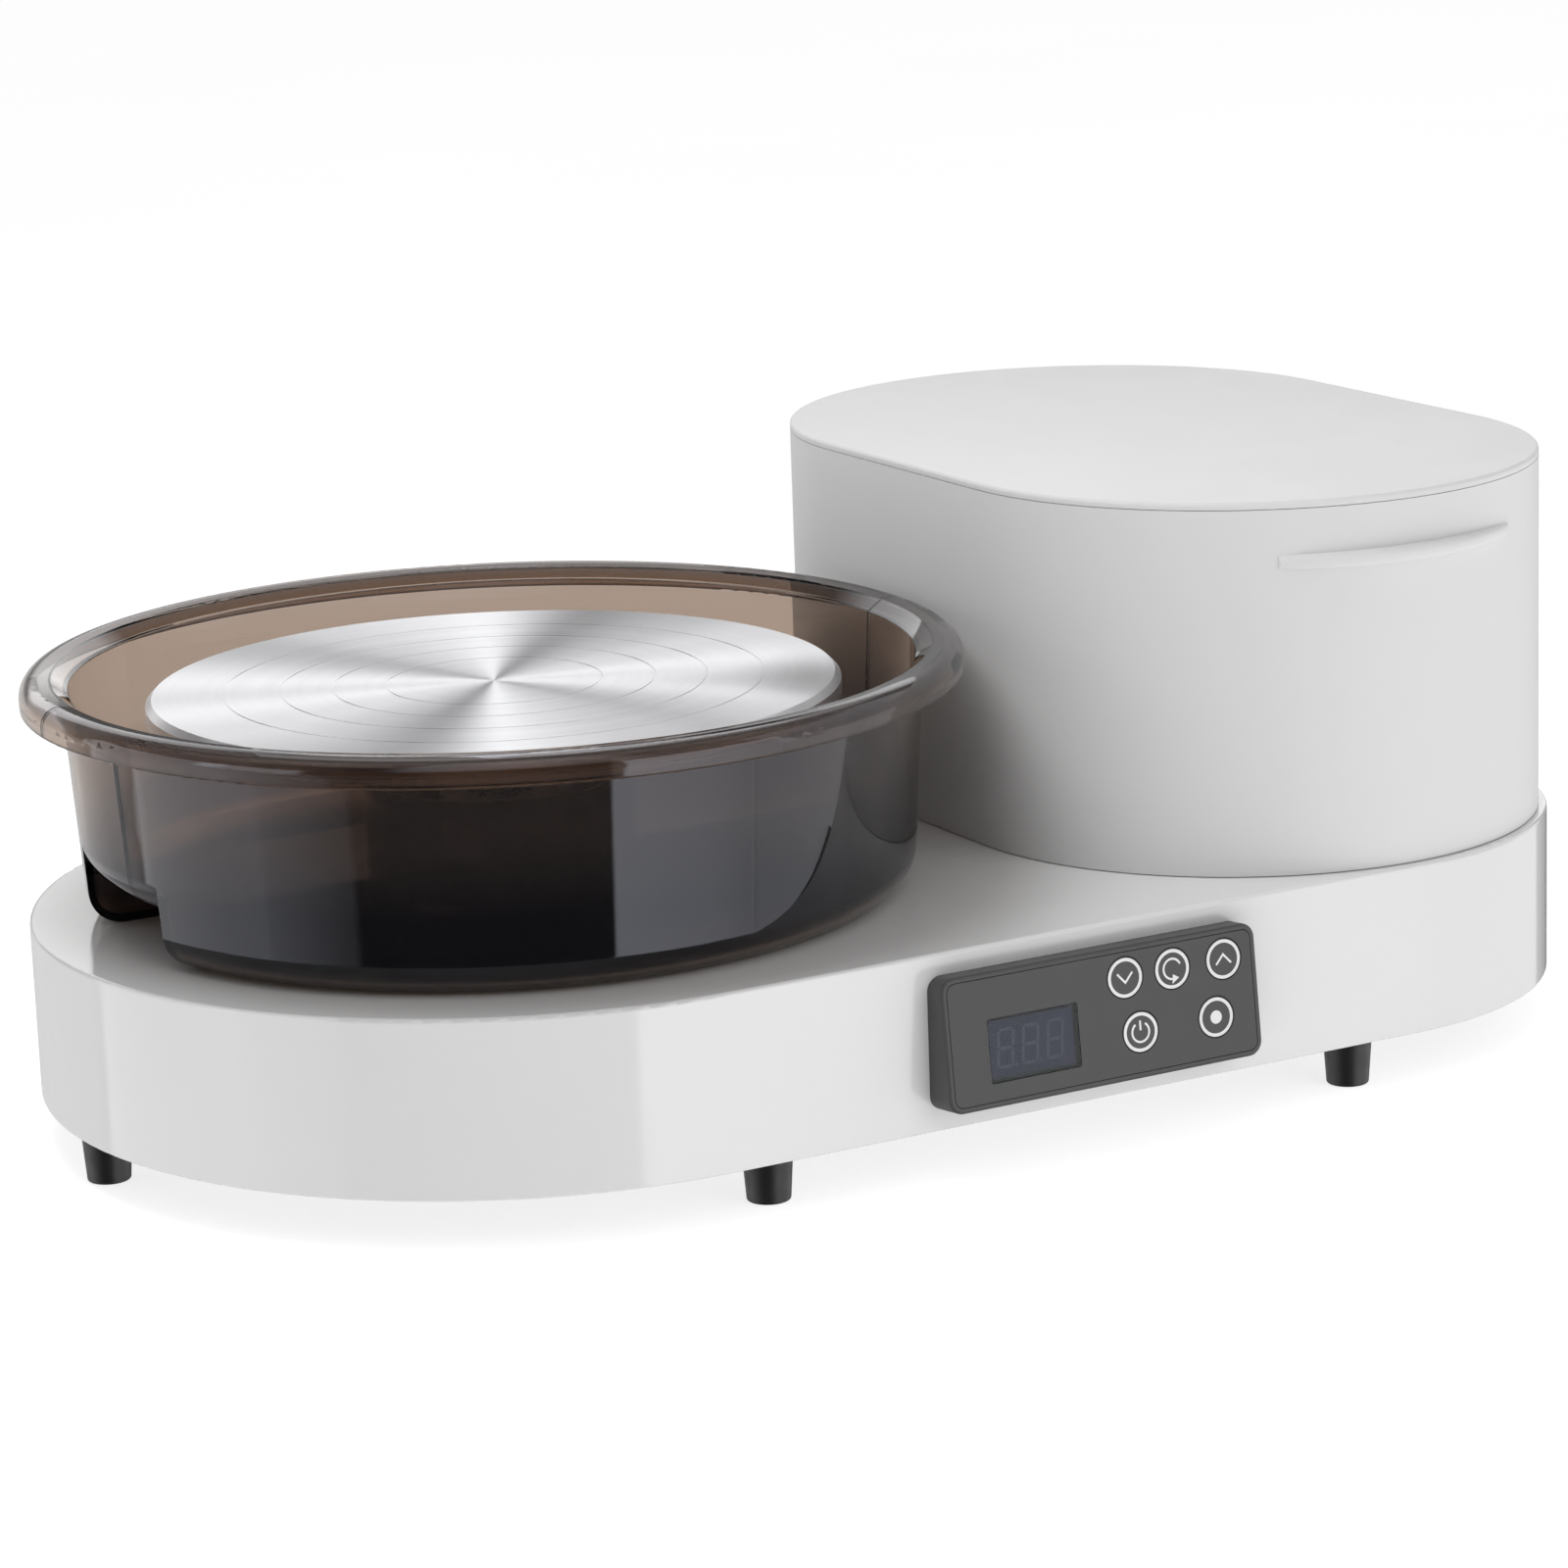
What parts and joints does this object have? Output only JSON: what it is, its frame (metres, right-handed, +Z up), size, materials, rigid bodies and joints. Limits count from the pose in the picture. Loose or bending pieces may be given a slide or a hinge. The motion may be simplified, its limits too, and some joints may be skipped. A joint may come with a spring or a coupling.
{
  "type": "pottery wheel",
  "caption": "Tabletop pottery wheel with an aluminium wheel head, split smoky splash pan, lidded storage drum, and a control panel with a display and push buttons.",
  "frame": {"origin": "middle of the whole object's footprint, on the surface that it stands on", "axes": "+Z up, +X from the wheel towards the storage drum, -Y towards the control panel"},
  "size_m": [0.6389, 0.4018, 0.244],
  "materials": {
    "white_gloss": "glossy moulded plastic",
    "drum_white": "satin moulded plastic",
    "smoke_plastic": "clear smoky plastic",
    "turned_aluminium": "turned face with faint rings",
    "cast_aluminium": "cast",
    "black_rubber": "moulded rubber",
    "zinc_steel": "zinc plated sheet",
    "machined_steel": "machined",
    "fastener_steel": "plated",
    "panel_grey": "fine texture",
    "button_grey": "fine texture",
    "window_smoke": "dark clear plastic",
    "display_dark": "dark display face",
    "board_green": "solder mask",
    "black_plastic": "moulded",
    "brass_contact": "bright",
    "lead_black": "cable sheath"
  },
  "bodies": {
    "base": {"base_shell": "white_gloss", "bearing_housing": "cast_aluminium", "motor_end_cap": "cast_aluminium", "board_heat_sink": "cast_aluminium", "foot_1": "black_rubber", "foot_2": "black_rubber", "foot_3": "black_rubber", "foot_4": "black_rubber", "foot_5": "black_rubber", "foot_6": "black_rubber", "drive_belt": "black_rubber", "bottom_plate": "zinc_steel", "motor_bracket": "zinc_steel", "power_supply": "zinc_steel", "motor_can": "zinc_steel", "board_standoffs": "zinc_steel", "bearing_outer_races": "machined_steel", "bearing_balls": "machined_steel", "motor_bearings": "machined_steel", "motor_stator": "machined_steel", "plate_screws": "fastener_steel", "foot_screws": "fastener_steel", "housing_bolts": "fastener_steel", "bracket_screws": "fastener_steel", "panel_screws": "fastener_steel", "jack_nut": "fastener_steel", "control_housing": "panel_grey", "control_face": "panel_grey", "display_window": "window_smoke", "display_module": "display_dark", "control_board": "board_green", "driver_board": "board_green", "power_inlet": "black_plastic", "pedal_jack": "black_plastic", "tact_switches": "black_plastic", "board_components": "black_plastic", "inlet_blades": "brass_contact", "motor_lead": "lead_black", "panel_lead": "lead_black", "mains_lead": "lead_black", "pedal_lead": "lead_black"},
    "wheel": {"wheel_head": "turned_aluminium", "wheel_hub": "cast_aluminium", "hub_screws": "fastener_steel", "spindle_shaft": "machined_steel", "bearing_inner_races": "machined_steel", "wheel_pulley": "machined_steel", "pulley_screw": "fastener_steel"},
    "rotor": {"motor_rotor": "machined_steel", "motor_shaft": "machined_steel", "motor_pulley": "machined_steel"},
    "front_pan": {"pan_front": "smoke_plastic"},
    "back_pan": {"pan_back": "smoke_plastic"},
    "drum": {"drum_body": "drum_white"},
    "lid": {"drum_lid": "drum_white"},
    "button_speed_down_cap": {"button_speed_down": "button_grey"},
    "button_direction_cap": {"button_direction": "button_grey"},
    "button_speed_up_cap": {"button_speed_up": "button_grey"},
    "button_power_cap": {"button_power": "button_grey"},
    "button_mode_cap": {"button_mode": "button_grey"}
  },
  "joints": [
    {"name": "wheel_spin", "type": "hinge", "parent": "base", "child": "wheel", "pos_m": [-0.128, 0.00643, 0], "axis": [0, 0, 1], "continuous": true},
    {"name": "motor_spin", "type": "hinge", "parent": "base", "child": "rotor", "pos_m": [0.112, 0.00643, 0], "axis": [0, 0, 1], "continuous": true},
    {"name": "front_pan_slide", "type": "slide", "parent": "base", "child": "front_pan", "axis": [0, -1, 0], "range_m": [0, 0.2]},
    {"name": "back_pan_slide", "type": "slide", "parent": "base", "child": "back_pan", "axis": [0, 1, 0], "range_m": [0, 0.22]},
    {"name": "drum_lift", "type": "slide", "parent": "base", "child": "drum", "axis": [0, 0, 1], "range_m": [0, 0.2]},
    {"name": "lid_lift", "type": "slide", "parent": "drum", "child": "lid", "axis": [0, 0, 1], "range_m": [0, 0.16]},
    {"name": "button_speed_down_press", "type": "slide", "parent": "base", "child": "button_speed_down_cap", "axis": [0, 0.9937, -0.1119], "range_m": [0, 0.0008], "stiffness_N_per_m": 500, "springref_m": -0.002},
    {"name": "button_direction_press", "type": "slide", "parent": "base", "child": "button_direction_cap", "axis": [0, 0.9937, -0.1119], "range_m": [0, 0.0008], "stiffness_N_per_m": 500, "springref_m": -0.002},
    {"name": "button_speed_up_press", "type": "slide", "parent": "base", "child": "button_speed_up_cap", "axis": [0, 0.9937, -0.1119], "range_m": [0, 0.0008], "stiffness_N_per_m": 500, "springref_m": -0.002},
    {"name": "button_power_press", "type": "slide", "parent": "base", "child": "button_power_cap", "axis": [0, 0.9937, -0.1119], "range_m": [0, 0.0008], "stiffness_N_per_m": 500, "springref_m": -0.002},
    {"name": "button_mode_press", "type": "slide", "parent": "base", "child": "button_mode_cap", "axis": [0, 0.9937, -0.1119], "range_m": [0, 0.0008], "stiffness_N_per_m": 500, "springref_m": -0.002}
  ],
  "couplings": [
    {"joint": "motor_spin", "follows": "wheel_spin", "ratio": 3.3565}
  ]
}
